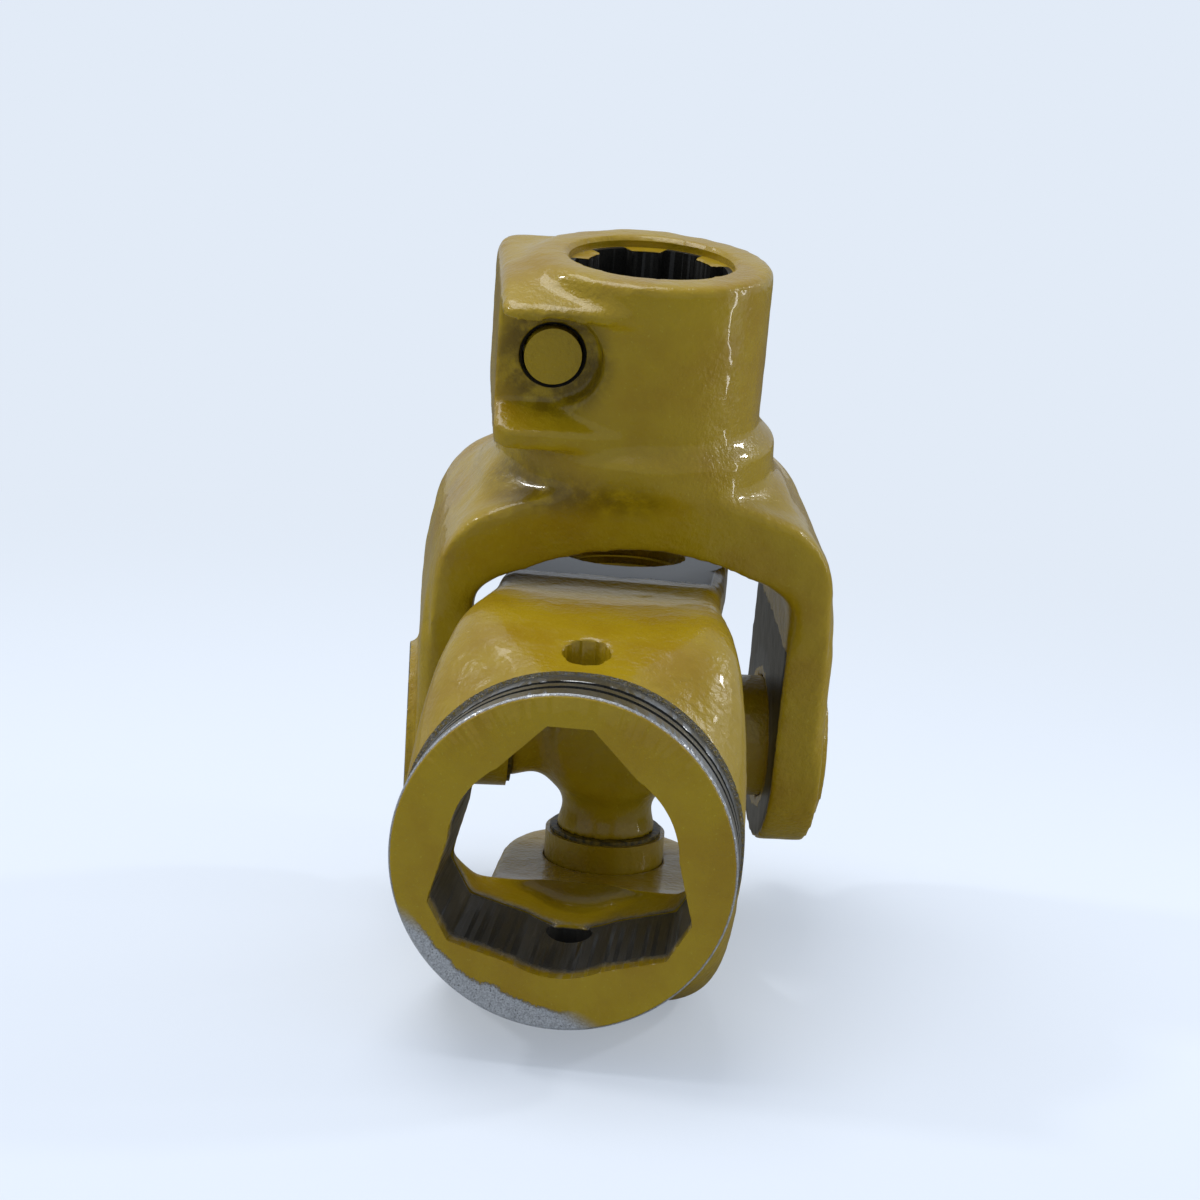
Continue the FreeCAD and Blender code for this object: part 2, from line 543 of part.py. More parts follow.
cross_star = fillet("cross_star", fuse("cross_union", ball_centre, *necks), "crotch_radius", is_neck_root)
cross_slab = box("cross_slab", ("cap_span", "cross_thickness", "cap_span"),
                 ("-cap_span / 2", "-cross_thickness / 2", "-cap_span / 2"))
cross_centre = common("cross_centre", cross_star, cross_slab)
ARM_END = "(cap_span / 2 - cap_floor - washer_thickness - 2 * end_gap)"
arms = []
for axis in "zx":
    def along(text):
        return ("0", "0", text) if axis == "z" else (text, "0", "0")
    arms.append(cylinder("trunnion_" + axis, TRUNNION, "2 * (%s - arm_edge)" % ARM_END,
                         along("-(%s - arm_edge)" % ARM_END), axis))
    for side, way in (("", axis), ("-", "-" + axis)):
        arms.append(cone("arm_edge_%s%s" % (axis, "b" if side else "a"), TRUNNION, TRUNNION + " - arm_edge",
                         "arm_edge", along("%s(%s - arm_edge)" % (side, ARM_END)), way))
nipple_boss = cylinder("nipple_boss", "nipple_thread", "cross_thickness / 2 + 1.5", axis="y")
galleries = [
    cylinder("gallery_z", "gallery_diameter / 2", "4 * cap_span", ("0", "0", "-2 * cap_span")),
    cylinder("gallery_x", "gallery_diameter / 2", "4 * cap_span", ("-2 * cap_span", "0", "0"), "x"),
    cylinder("nipple_seat", "nipple_thread / 2", "cross_thickness", axis="y"),
]
cross = cut("cross_body", fuse("cross_solid", cross_centre, nipple_boss, *arms), *galleries)
node(cross, "cross", "cross")

NIPPLE_SEAT = "(cross_thickness / 2 + 1.5)"
shank = cylinder("nipple_shank", "nipple_thread / 2", "7", ("0", NIPPLE_SEAT + " - 7", "0"), "y")
hexagon = doc.addObject("Part::Prism", "nipple_hexagon")
hexagon.Polygon = 6
hexagon.Placement = Placement(Vector(), AXES["y"])
hexagon.setExpression("Circumradius", bound("nipple_hex / sqrt(3)"))
hexagon.setExpression("Height", bound("nipple_height / 3"))
hexagon.setExpression(".Placement.Base.y", bound(NIPPLE_SEAT))
neck = cone("nipple_neck", "nipple_hex / 3", "nipple_hex / 4.4", "nipple_height / 3",
            ("0", NIPPLE_SEAT + " + nipple_height / 3", "0"), "y")
ball = cylinder("nipple_head", "nipple_hex / 2.8", "nipple_height / 6", ("0", NIPPLE_SEAT + " + nipple_height * 2 / 3", "0"), "y")
tip = cone("nipple_tip", "nipple_hex / 2.8", "nipple_hex / 6", "nipple_height / 6",
           ("0", NIPPLE_SEAT + " + nipple_height * 5 / 6", "0"), "y")
nipple = cut("nipple", fuse("nipple_solid", shank, hexagon, neck, ball, tip),
             cylinder("nipple_way", "0.8", "nipple_height * 4", ("0", NIPPLE_SEAT + " - 8", "0"), "y"))
node(nipple, "grease_nipple", "cross")

# --------------------------------------------- bearings, one set for each arm
CUP_IN = "(cap_diameter / 2 - cap_wall)"
for arm, frame in (("top", "tube"), ("bottom", "tube"), ("left", "spline"), ("right", "spline")):
    barrel = cylinder("cap_barrel_" + arm, "cap_diameter / 2", "cap_length - 0.6", ("0", "0", CUP_RIM))
    closed_edge = cone("cap_edge_" + arm, "cap_diameter / 2", "cap_diameter / 2 - 0.6", "0.6",
                       ("0", "0", "cap_span / 2 - 0.6"))
    inside = cylinder("cap_inside_" + arm, CUP_IN, "cap_length - cap_floor", ("0", "0", CUP_RIM))
    rim_edge = cone("cap_rim_" + arm, CUP_IN + " + 1.2", CUP_IN, "1.2", ("0", "0", CUP_RIM))
    node(cut("cap_" + arm, fuse("cap_solid_" + arm, barrel, closed_edge), inside, rim_edge),
         "bearing_cup_" + arm, frame, arm)

    washer = cut("washer_" + arm,
                 cylinder("washer_disc_" + arm, CUP_IN + " - 0.3", "washer_thickness",
                          ("0", "0", "cap_span / 2 - cap_floor - washer_thickness - end_gap")),
                 cylinder("washer_hole_" + arm, "gallery_diameter", "cap_span"))
    node(washer, "thrust_washer_" + arm, frame, arm)

    rollers = cut("rollers_" + arm,
                  cylinder("rollers_outer_" + arm, CUP_IN, "cap_length - cap_floor - washer_thickness - seal_depth - 0.6",
                           ("0", "0", CUP_RIM + " + seal_depth + 0.2")),
                  cylinder("rollers_inner_" + arm, TRUNNION + " + running_gap", "cap_span"))
    node(rollers, "needle_rollers_" + arm, frame, arm)

    lip = cylinder("seal_lip_" + arm, "seal_diameter / 2", "seal_stand - end_gap", ("0", "0", NECK_REACH + " + end_gap"))
    plug = cone("seal_plug_" + arm, CUP_IN + " + 1.2", CUP_IN, "1.2", ("0", "0", CUP_RIM))
    heel = cylinder("seal_heel_" + arm, CUP_IN, "seal_depth - 1.2", ("0", "0", CUP_RIM + " + 1.2"))
    node(cut("seal_" + arm, fuse("seal_solid_" + arm, lip, plug, heel),
             cylinder("seal_hole_" + arm, TRUNNION + " + 2 * running_gap", "cap_span")),
         "cup_seal_" + arm, frame, arm)

    ring = cut("ring_" + arm,
               cylinder("ring_disc_" + arm, "cap_diameter / 2 + snap_groove_depth", "snap_thickness", ("0", "0", RING_SEAT)),
               cylinder("ring_hole_" + arm, "cap_diameter / 2 + snap_groove_depth - snap_width", "cap_span"),
               box("ring_gap_" + arm, ("snap_opening", "cap_diameter", "cap_span"), ("-snap_opening / 2", "-cap_diameter", "0")))
    node(ring, "snap_ring_" + arm, frame, arm)

# ---------------------------------------------------------- push-pin lock
HEAD_Y = "(-(hub_diameter / 2 - spot_depth) - lock_proud)"
LOCK_AT = ("-lock_offset", HEAD_Y, "lock_height")
lock_body = cylinder("lock_body", "lock_diameter / 2", "lock_tail - " + HEAD_Y, LOCK_AT, "y")
WAIST_Y = "(-waist_length / 2 - lock_travel)"
waist_ring = cut("waist_ring",
                 cylinder("waist_outer", "lock_diameter", "waist_length", ("-lock_offset", WAIST_Y, "lock_height"), "y"),
                 cylinder("waist_core", "waist_diameter / 2", "waist_length", ("-lock_offset", WAIST_Y, "lock_height"), "y"))
lock_pin = cut("lock_pin_body", lock_body, waist_ring)
node(lock_pin, "lock_pin", "spline")

PLUG_Y = "(hub_diameter / 2 - plug_thickness)"
plug = cylinder("plug_disc", "lock_diameter / 2 + lock_gap", "plug_thickness", ("-lock_offset", PLUG_Y, "lock_height"), "y")
plug_slot = box("plug_slot", ("lock_diameter", "1.6", "1.8"),
                ("-lock_offset - lock_diameter / 2", "hub_diameter / 2 - 1.6", "lock_height - 0.9"))
node(cut("plug_body", plug, plug_slot), "lock_pin_plug", "spline")

# the spring's half turns are half rings, tilted one way and the other
SPRING_TALL = "(%s - lock_tail - 2 * end_gap)" % PLUG_Y
PITCH = "((%s - spring_wire) / spring_turns)" % SPRING_TALL
COIL_RADIUS = "(spring_diameter / 2 - spring_wire / 2)"
half_turns = []
for i in range(int(2 * NAMES["spring_turns"])):
    half = primitive("Torus", "spring_half_%d" % i, Radius1=COIL_RADIUS, Radius2="spring_wire / 2")
    half.Angle3 = 180
    half.setExpression("Placement", bound(
        "create(<<placement>>; create(<<vector>>; -lock_offset;"
        " lock_tail + end_gap + spring_wire / 2 + %s * %s; lock_height); %s * %s * %s)" % (
            PITCH, i / 2 + 0.25, turned("1; 0; 0", "-90"), turned("0; 0; 1", 180 * i),
            turned("0; 1; 0", "-atan(%s / (4 * %s))" % (PITCH, COIL_RADIUS)))))
    half_turns.append(half)
node(fuse("spring_coil", *half_turns), "lock_pin_spring", "spline")

# ------------------------------------------------------------------ export
doc.recompute()
for obj in doc.Objects:
    for flag in ("Invalid", "Error"):
        if flag in obj.State:
            raise RuntimeError("%s is %s" % (obj.Name, obj.State))
os.makedirs("parts", exist_ok=True)
for obj in PART_NODES:
    shape = obj.Shape
    if shape.isNull() or not shape.isValid():
        raise RuntimeError("%s has no valid shape" % obj.Label)
    shape.exportStep("parts/%s.step" % obj.Label)
    bounds = shape.BoundBox
    print("%-24s solids %d  volume %9.1f  z %7.2f to %7.2f" % (
        obj.Label, len(shape.Solids), shape.Volume, bounds.ZMin, bounds.ZMax))
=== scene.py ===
"""A painted universal joint of a farm shaft, dressed for a studio view.

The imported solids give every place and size. The two forgings and the cross are
softened copies of their solids, and the forgings are then cut again wherever the real
ones are machined. Every finish is made from nodes.
"""

import json
import math

import bmesh
import bpy
from mathutils import Matrix, Vector


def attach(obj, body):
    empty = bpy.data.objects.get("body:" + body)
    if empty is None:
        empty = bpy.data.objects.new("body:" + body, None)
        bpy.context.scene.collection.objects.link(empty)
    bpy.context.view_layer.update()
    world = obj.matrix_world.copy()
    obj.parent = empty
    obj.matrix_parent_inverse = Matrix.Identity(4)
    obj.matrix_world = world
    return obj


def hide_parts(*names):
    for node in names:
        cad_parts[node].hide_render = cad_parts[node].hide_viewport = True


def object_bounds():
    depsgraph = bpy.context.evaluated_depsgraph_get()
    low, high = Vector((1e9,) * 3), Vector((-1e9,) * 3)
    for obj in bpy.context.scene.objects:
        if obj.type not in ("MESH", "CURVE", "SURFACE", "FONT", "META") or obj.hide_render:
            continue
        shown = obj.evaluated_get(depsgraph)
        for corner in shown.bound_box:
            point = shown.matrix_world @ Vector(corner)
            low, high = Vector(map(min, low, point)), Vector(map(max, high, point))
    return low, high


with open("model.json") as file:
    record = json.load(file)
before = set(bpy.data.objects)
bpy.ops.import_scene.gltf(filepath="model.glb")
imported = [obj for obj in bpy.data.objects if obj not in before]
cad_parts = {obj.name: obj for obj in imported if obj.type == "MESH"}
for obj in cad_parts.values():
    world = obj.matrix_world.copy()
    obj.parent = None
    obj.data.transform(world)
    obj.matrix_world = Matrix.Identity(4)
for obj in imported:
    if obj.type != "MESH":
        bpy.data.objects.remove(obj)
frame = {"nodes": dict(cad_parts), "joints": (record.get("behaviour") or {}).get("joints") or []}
cad_lowest, cad_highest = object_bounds()
nodes = frame["nodes"]
joints = {joint["name"]: joint for joint in frame["joints"]}
MM = 0.001

# ---------------------------------------------------------------- places
# the tube yoke lies along Y from its open face; the splined yoke has its own three axes
cross_centre = Vector(joints["cross_swivel"]["pos_m"])
ear_axis = Vector(joints["yoke_swing"]["axis"]).normalized()
push_axis = Vector(joints["pin_push"]["axis"]).normalized()
hub_axis = ear_axis.cross(push_axis)
floor_height = cad_lowest.z
collar_radius, band_depth = 36.7 * MM, 16.4 * MM
socket_radius, socket_depth = 30 * MM, 47 * MM
cap_radius = 15.1 * MM
pin_hole = Vector((0, 26 * MM, 0))
pin_hole_radius = 5 * MM
tube_ear_face = 44.8 * MM
spline_ear_inner, spline_pad_face = 37 * MM, 51.4 * MM
hub_top, hub_mouth_radius, hub_mouth_depth = 121 * MM, 19 * MM, 2.5 * MM
hub_underside = 55 * MM
lock_offset, lock_height, lock_mouth_radius = -22.4 * MM, 101.5 * MM, 7.5 * MM


def step_up(value, low, high):
    """0 below low, 1 above high, and straight between them."""
    return min(1.0, max(0.0, (value - low) / (high - low)))


# ---------------------------------------------------------------- forgings
def evaluated_mesh(thing, name):
    """The mesh that an object's modifiers give."""
    bpy.context.view_layer.update()
    graph = bpy.context.evaluated_depsgraph_get()
    mesh = bpy.data.meshes.new_from_object(thing.evaluated_get(graph), depsgraph=graph)
    mesh.name = name
    return mesh


def shade_round(thing):
    thing.data.polygons.foreach_set("use_smooth", [True] * len(thing.data.polygons))


def lathe_tool(name, outline, start, axis):
    """A turning tool: an outline of (radius, distance along the axis) spun about the axis from start."""
    tool = bmesh.new()
    corners = [tool.verts.new((radius, 0, along)) for radius, along in outline]
    if outline[0][0] or outline[-1][0]:
        tool.edges.new((corners[-1], corners[0]))
    for first, last in zip(corners, corners[1:]):
        tool.edges.new((first, last))
    bmesh.ops.spin(tool, geom=tool.verts[:] + tool.edges[:], cent=(0, 0, 0), axis=(0, 0, 1),
                   angle=math.tau, steps=144, use_merge=True, use_duplicate=False)
    return placed_tool(name, tool, start, axis)


def profile_tool(name, radius_at, segments, start, axis, side, length):
    """A broach: an outline of radii about the axis, drawn along it from start. Turn 0 lies on side."""
    tool = bmesh.new()
    bmesh.ops.create_circle(tool, cap_ends=True, segments=segments, radius=1.0)
    for vertex in tool.verts:
        turn = math.atan2(vertex.co.y, vertex.co.x)
        vertex.co = Vector((math.cos(turn), math.sin(turn), 0)) * radius_at(turn)
    raised = bmesh.ops.extrude_face_region(tool, geom=tool.faces[:])["geom"]
    far_end = [part for part in raised if isinstance(part, bmesh.types.BMVert)]
    bmesh.ops.translate(tool, verts=far_end, vec=(0, 0, length))
    return placed_tool(name, tool, start, axis, side)


def placed_tool(name, tool, start, axis, side=None):
    """The tool's mesh object, with its own Z along axis and its own X along side."""
    axis = Vector(axis).normalized()
    side = Vector(side) if side is not None else axis.orthogonal()
    side = (side - axis * side.dot(axis)).normalized()
    turn = Matrix((side, axis.cross(side), axis)).transposed()
    bmesh.ops.remove_doubles(tool, verts=tool.verts, dist=0.0001 * MM)
    bmesh.ops.transform(tool, matrix=Matrix.Translation(start) @ turn.to_4x4(), verts=tool.verts)
    bmesh.ops.recalc_face_normals(tool, faces=tool.faces)
    mesh = bpy.data.meshes.new(name)
    tool.to_mesh(mesh)
    tool.free()
    made = bpy.data.objects.new(name, mesh)
    bpy.context.scene.collection.objects.link(made)
    return made


def bore(name, radius, start, axis, length):
    """A plain drill."""
    return lathe_tool(name, [(0, 0), (radius, 0), (radius, length), (0, length)], start, axis)


def machine(thing, *tools):
    """Cut the tools out of a forging, with crisp edges, and put them away."""
    for tool in tools:
        cutter = thing.modifiers.new(tool.name, "BOOLEAN")
        cutter.operation, cutter.solver, cutter.object = "DIFFERENCE", "MANIFOLD", tool
    thing.data = evaluated_mesh(thing, thing.name)
    thing.modifiers.clear()
    for tool in tools:
        bpy.data.objects.remove(tool)
    shade_round(thing)
    thing.data.set_sharp_from_angle(angle=math.radians(38))


def forging(name, node, body, voxel, softness, unevenness, reshape=None):
    """A copy of a CAD node whose forged faces and edges are worn soft.

    softness is a list of (passes, share), where share(point) is 1 on skin that those passes
    soften in full and 0 on a face or edge that they leave. unevenness is a list of (scale, strength)
    for the lumps of the skin, and reshape(point) moves a point before it all.
    """
    shell = bmesh.new()
    shell.from_mesh(nodes[node].data)
    bmesh.ops.remove_doubles(shell, verts=shell.verts, dist=0.001 * MM)
    mesh = bpy.data.meshes.new(name)
    shell.to_mesh(mesh)
    shell.free()
    thing = bpy.data.objects.new(name, mesh)
    bpy.context.scene.collection.objects.link(thing)
    remesh = thing.modifiers.new("even_skin", "REMESH")
    remesh.mode, remesh.voxel_size = "VOXEL", voxel
    thing.data = evaluated_mesh(thing, name)
    thing.modifiers.clear()

    for vertex in thing.data.vertices if reshape else ():
        vertex.co = reshape(vertex.co)
    for number, (passes, share) in enumerate(softness):
        group = thing.vertex_groups.new(name="softness_%d" % number)
        for vertex in thing.data.vertices:
            group.add([vertex.index], share(vertex.co), "REPLACE")
        soften = thing.modifiers.new("soften", "SMOOTH")
        soften.factor, soften.iterations, soften.vertex_group = 0.5, passes, group.name
    for scale, strength in unevenness:
        clouds = bpy.data.textures.new("%s_skin_%d" % (name, round(scale / MM)), "CLOUDS")
        clouds.noise_scale, clouds.noise_depth = scale, 2
        skin = thing.modifiers.new("skin", "DISPLACE")
        skin.texture, skin.texture_coords = clouds, "LOCAL"
        skin.strength, skin.mid_level, skin.vertex_group = strength, 0.5, "softness_0"
    thing.data = evaluated_mesh(thing, name)
    thing.modifiers.clear()
    thing.vertex_groups.clear()
    shade_round(thing)
    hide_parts(node)
    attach(thing, body)
    return thing


def tube_forged(point):
    """Forged skin of the tube yoke: not its collar band, socket, pin hole, bores and ear faces."""
    from_axis = math.hypot(point.x, point.z)
    from_cap = math.hypot(point.x, point.y - cross_centre.y)
    from_pin = math.hypot(point.x, point.y - pin_hole.y)
    inside = step_up(socket_radius - from_axis, 0, 1 * MM) * step_up(socket_depth - point.y, 0, 2 * MM)
    return (step_up(point.y, band_depth, band_depth + 2 * MM) * (1 - inside)
            * step_up(from_cap, cap_radius + 1.5 * MM, cap_radius + 4 * MM)
            * step_up(from_pin, pin_hole_radius + 0.5 * MM, pin_hole_radius + 2 * MM)
            * step_up(tube_ear_face - abs(point.z), 0.1 * MM, 1.2 * MM))


def spline_place(point):
    """A point in the splined yoke's own frame: along its ears, along its lock pin, and up its hub."""
    moved = point - cross_centre
    return Vector((moved.dot(ear_axis), moved.dot(push_axis), moved.dot(hub_axis)))


def spline_forged(point):
    """Forged skin of the splined yoke, away from its spline bore, lock bore, cap bores and pads."""
    place = spline_place(point)
    from_hub = math.hypot(place.x, place.y)
    from_cap = math.hypot(place.y, place.z)
    from_lock = math.hypot(place.x - lock_offset, place.z - lock_height)
    off_mouth = step_up(from_hub, hub_mouth_radius + 0.6 * MM, hub_mouth_radius + 2.5 * MM)
    return ((off_mouth if place.z > hub_underside else 1.0)
            * step_up(from_cap, cap_radius + 1.5 * MM, cap_radius + 4 * MM)
            * step_up(from_lock, lock_mouth_radius + 0.3 * MM, lock_mouth_radius + 1.5 * MM)
            * max(0.3, step_up(spline_pad_face - abs(place.x), 0.1 * MM, 1.0 * MM)))


def cross_forged(point):
    """Forged middle of the cross, out to the shoulders under the seals."""
    moved = point - cross_centre
    reach = max(abs(moved.dot(ear_axis)), abs(moved.z))
    return step_up(24.6 * MM - reach, 0, 3 * MM)


def throat_soft(point):
    """The rounded floor of the tube yoke's throat, beyond the socket's walls."""
    from_axis = math.hypot(point.x, point.z)
    from_cap = math.hypot(point.x, point.y - cross_centre.y)
    return (step_up(point.y, 28 * MM, 34 * MM) * step_up(44 * MM - abs(point.z), 4 * MM, 8 * MM)
            * step_up(from_axis, 20 * MM, 23 * MM)
            * step_up(from_cap, cap_radius + 4 * MM, cap_radius + 9 * MM))


def arch_soft(point):
    """The splined yoke's shoulders, the foot and brow of its hub, and the corners of its arch."""
    place = spline_place(point)
    side = abs(place.x)
    corner = math.hypot(side - 46 * MM, place.z - 58 * MM)
    inner = math.hypot(side - 37 * MM, place.z - 46 * MM)
    foot = step_up(place.z, 62 * MM, 67 * MM) * step_up(79 * MM - place.z, 0, 3 * MM)
    from_hub = math.hypot(place.x, place.y)
    brow = step_up(place.z, 112 * MM, 117 * MM) * step_up(from_hub, 22 * MM, 26 * MM)
    on_boss = place.x < -22 * MM
    return max((0.8 if on_boss else 0.35) * brow, 0.6 * foot,
               1 - step_up(corner, 8 * MM, 20 * MM), 1 - step_up(inner, 6 * MM, 13 * MM))


def round_arch(point):
    """The fork's outer corners drawn in to a round of 30 mm, between its sides and its shoulders."""
    radius, shoulder_slope = 30 * MM, 1.29
    place = spline_place(point)
    heart = Vector((math.copysign(18 * MM, place.x), 0, 43.3 * MM))
    reach = Vector((place.x - heart.x, 0, place.z - heart.z))
    outwards = reach.x * math.copysign(1, place.x)
    in_corner = outwards > 0 and 0 < reach.z <= shoulder_slope * outwards
    if not in_corner or reach.length <= radius:
        return point
    drawn = reach * (radius / reach.length - 1)
    return point + ear_axis * drawn.x + hub_axis * drawn.z


def waisted(point):
    """The cross, with each arm narrowed between its ball and its shoulder."""
    moved = point - cross_centre
    arm = ear_axis if abs(moved.dot(ear_axis)) > abs(moved.z) else Vector((0, 0, 1))
    along = moved.dot(arm)
    waist_at, waist_half = 19.5 * MM, 4.8 * MM
    narrow = 0.1 * max(0.0, 1 - abs(abs(along) - waist_at) / waist_half)
    return point - (moved - arm * along) * narrow


ORANGE_PEEL = (2.4 * MM, 0.08 * MM)
tube_yoke = forging("tube_yoke_forging", "tube_yoke", "tube_side", 0.7 * MM,
                    ((12, tube_forged), (60, throat_soft)), ((9 * MM, 0.35 * MM), ORANGE_PEEL))
spline_yoke = forging("spline_yoke_forging", "spline_yoke", "spline_side", 0.86 * MM,
                      ((10, spline_forged), (110, arch_soft)),
                      ((9 * MM, 0.4 * MM), ORANGE_PEEL), round_arch)
cross = forging("cross_forging", "cross", "cross_piece", 0.6 * MM,
                ((50, cross_forged),), ((7 * MM, 0.2 * MM),), waisted)

# ---------------------------------------------------------------- machining
# each cut goes a little past the solid's own face, so that no softened skin is left on it
CLEAN_UP, CAP_CLEARANCE = 0.3 * MM, 0.2 * MM
FULL_ROUND = 360
groove_width, groove_depth, first_groove, groove_pitch = 1.9 * MM, 1.6 * MM, 5.1 * MM, 4.4 * MM
band_radius, band_chamfer, face_skim = collar_radius - 0.7 * MM, 0.7 * MM, 0.1 * MM
socket_corner, socket_flat = 28.7 * MM + CLEAN_UP, 4.7 * MM
socket_lobe, socket_lobe_radius = 24.2 * MM + CLEAN_UP, 20 * MM
spline_outer, spline_inner, spline_side = 17.7 * MM, 15.0 * MM, 4.5 * MM
spot_face_front = -18 * MM
lock_spot_radius, lock_drill_radius = lock_mouth_radius + 0.25 * MM, lock_mouth_radius - 0.55 * MM


def collar_outline():
    """Face, chamfered edge, band and two guard grooves, as one turning cut."""
    in_front, outside = -3 * MM, 1.3 * collar_radius
    outline = [(0, in_front), (0, face_skim),
               (band_radius - band_chamfer, face_skim), (band_radius, face_skim + band_chamfer)]
    for number in range(2):
        front = first_groove + number * groove_pitch
        back = front + groove_width
        outline += [(band_radius, front), (band_radius - groove_depth, front),
                    (band_radius - groove_depth, back), (band_radius, back)]
    return outline + [(band_radius, band_depth), (outside, band_depth), (outside, in_front)]


def hub_outline():
    """The counterbore of the hub and its chamfer."""
    floor, above = hub_top - hub_mouth_depth, hub_top + 5 * MM
    mouth, lip = hub_mouth_radius + 0.2 * MM, hub_mouth_radius + 1.8 * MM
    return [(0, floor), (mouth, floor), (mouth, hub_top - 1.0 * MM), (lip, hub_top + 0.6 * MM),
            (lip, above), (0, above)]


def lock_outline():
    """The lock pin's bore, with a wider mouth in the spot face."""
    in_front, behind = -45 * MM, 40 * MM
    return [(0, in_front), (lock_spot_radius, in_front), (lock_spot_radius, spot_face_front),
            (lock_drill_radius, spot_face_front + 0.8 * MM), (lock_drill_radius, behind), (0, behind)]


def socket_reach(turn):
    """The tube socket's wall from its axis: three corner flats, straight flanks and crowned lobes."""
    flank_end = math.radians(39)
    turn = abs((turn + math.pi / 3) % (math.tau / 3) - math.pi / 3)
    flat = socket_corner / math.cos(turn)
    flank = (socket_corner + socket_flat) / (math.cos(turn) + math.sin(turn)) if turn < flank_end else 0
    off = socket_lobe - socket_lobe_radius
    from_lobe = math.pi / 3 - turn
    lobe = off * math.cos(from_lobe) + math.sqrt(socket_lobe_radius ** 2 - (off * math.sin(from_lobe)) ** 2)
    return max(min(flat, flank), lobe)


def spline_reach(turn):
    """The splined bore's wall from its axis, with parallel sides to its grooves."""
    turn = abs((turn + math.pi / 6) % (math.pi / 3) - math.pi / 6)
    side = spline_side / max(math.sin(turn), 0.05)
    return min(spline_outer, max(spline_inner, side))


def cap_bore(name, start, axis):
    """A bearing cup's bore through one ear, outwards from start between the ears."""
    return bore(name, cap_radius + CAP_CLEARANCE, start, axis, 30 * MM)


machine(
    tube_yoke,
    lathe_tool("collar_cut", collar_outline(), (0, 0, 0), (0, 1, 0)),
    profile_tool("socket_broach", socket_reach, FULL_ROUND, (0, -1 * MM, 0), (0, 1, 0), (0, 0, 1), 31 * MM),
    bore("pin_drill", pin_hole_radius + 0.1 * MM, pin_hole - Vector((0, 0, 60 * MM)), (0, 0, 1), 120 * MM),
    cap_bore("upper_cap_bore", cross_centre + Vector((0, 0, 28 * MM)), (0, 0, 1)),
    cap_bore("lower_cap_bore", cross_centre - Vector((0, 0, 28 * MM)), (0, 0, -1)),
)
hub_foot = cross_centre + hub_axis * 50 * MM
lock_centre = cross_centre + ear_axis * lock_offset + hub_axis * lock_height
machine(
    spline_yoke,
    lathe_tool("hub_facing", hub_outline(), cross_centre, hub_axis),
    profile_tool("spline_broach", spline_reach, FULL_ROUND, hub_foot, hub_axis, ear_axis, 80 * MM),
    lathe_tool("lock_drill", lock_outline(), lock_centre, push_axis),
    cap_bore("right_cap_bore", cross_centre + ear_axis * 30 * MM, ear_axis),
    cap_bore("left_cap_bore", cross_centre - ear_axis * 30 * MM, -ear_axis),
)


